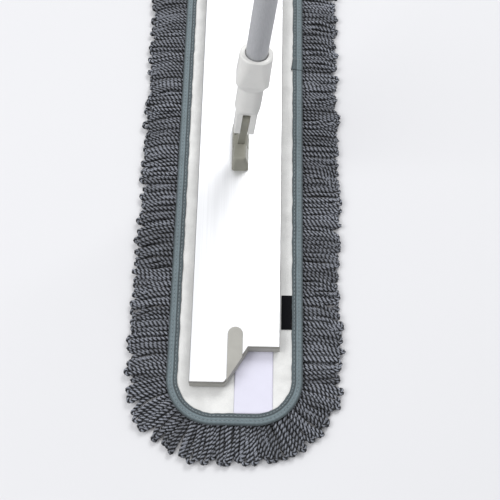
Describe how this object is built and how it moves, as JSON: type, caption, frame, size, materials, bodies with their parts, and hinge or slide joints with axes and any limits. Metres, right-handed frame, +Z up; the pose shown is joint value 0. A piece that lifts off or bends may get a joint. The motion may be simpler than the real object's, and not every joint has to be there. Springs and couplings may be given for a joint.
{
  "type": "flat dust mop",
  "caption": "Flat dust mop with an aluminium frame plate, a fringed yarn pad held by hook tape, a two-way swivel joint and a long straight pole.",
  "frame": {"origin": "on the floor under the centre of the frame plate", "axes": "+Z up, +Y along the frame plate, +X across it, towards the side the handle leans to"},
  "size_m": [0.2438, 0.601, 1.2318],
  "materials": {
    "yarn": "matte",
    "loop_cloth": "matte",
    "edge_tape": "matte",
    "label_weave": "matte",
    "patch_cloth": "matte",
    "plate_aluminium": "satin",
    "cap_plastic": "matte",
    "hook_tape": "matte",
    "joint_plastic": "matte",
    "steel": "satin",
    "bush_plastic": "satin",
    "socket_plastic": "satin",
    "pole_aluminium": "matte",
    "grip_rubber": "matte"
  },
  "bodies": {
    "pad": {"pad_pile": "yarn", "pad_backing": "loop_cloth", "binding_tape": "edge_tape", "fringe_left": "yarn", "fringe_right": "yarn", "fringe_front": "yarn", "fringe_rear": "yarn", "side_label": "label_weave", "end_patch_front": "patch_cloth", "end_patch_rear": "patch_cloth"},
    "head": {"frame_plate": "plate_aluminium", "end_cap_front": "cap_plastic", "end_cap_rear": "cap_plastic", "cap_screws": "steel", "hook_strip_left": "hook_tape", "hook_strip_right": "hook_tape", "joint_base": "joint_plastic", "base_screws": "steel", "roll_pin": "steel"},
    "link": {"joint_link": "joint_plastic", "tongue_bush": "bush_plastic"},
    "handle": {"fork_socket": "socket_plastic", "pitch_pin": "steel", "pitch_pin_cap": "steel", "friction_washers": "bush_plastic", "socket_screw": "steel", "pole": "pole_aluminium", "grip": "grip_rubber", "hang_cap": "socket_plastic"}
  },
  "joints": [
    {"name": "pad_release", "type": "slide", "parent": "pad", "child": "head", "axis": [0, 0, 1], "range_m": [0, 0.06]},
    {"name": "roll", "type": "hinge", "parent": "head", "child": "link", "pos_m": [0, 0, 0.0347], "axis": [0, 1, 0], "range_deg": [-86.6, 73.4]},
    {"name": "pitch", "type": "hinge", "parent": "link", "child": "handle", "pos_m": [0.00425, 0, 0.07146], "axis": [0.9934, 0, -0.1149], "range_deg": [-76.6, 93.4]}
  ]
}
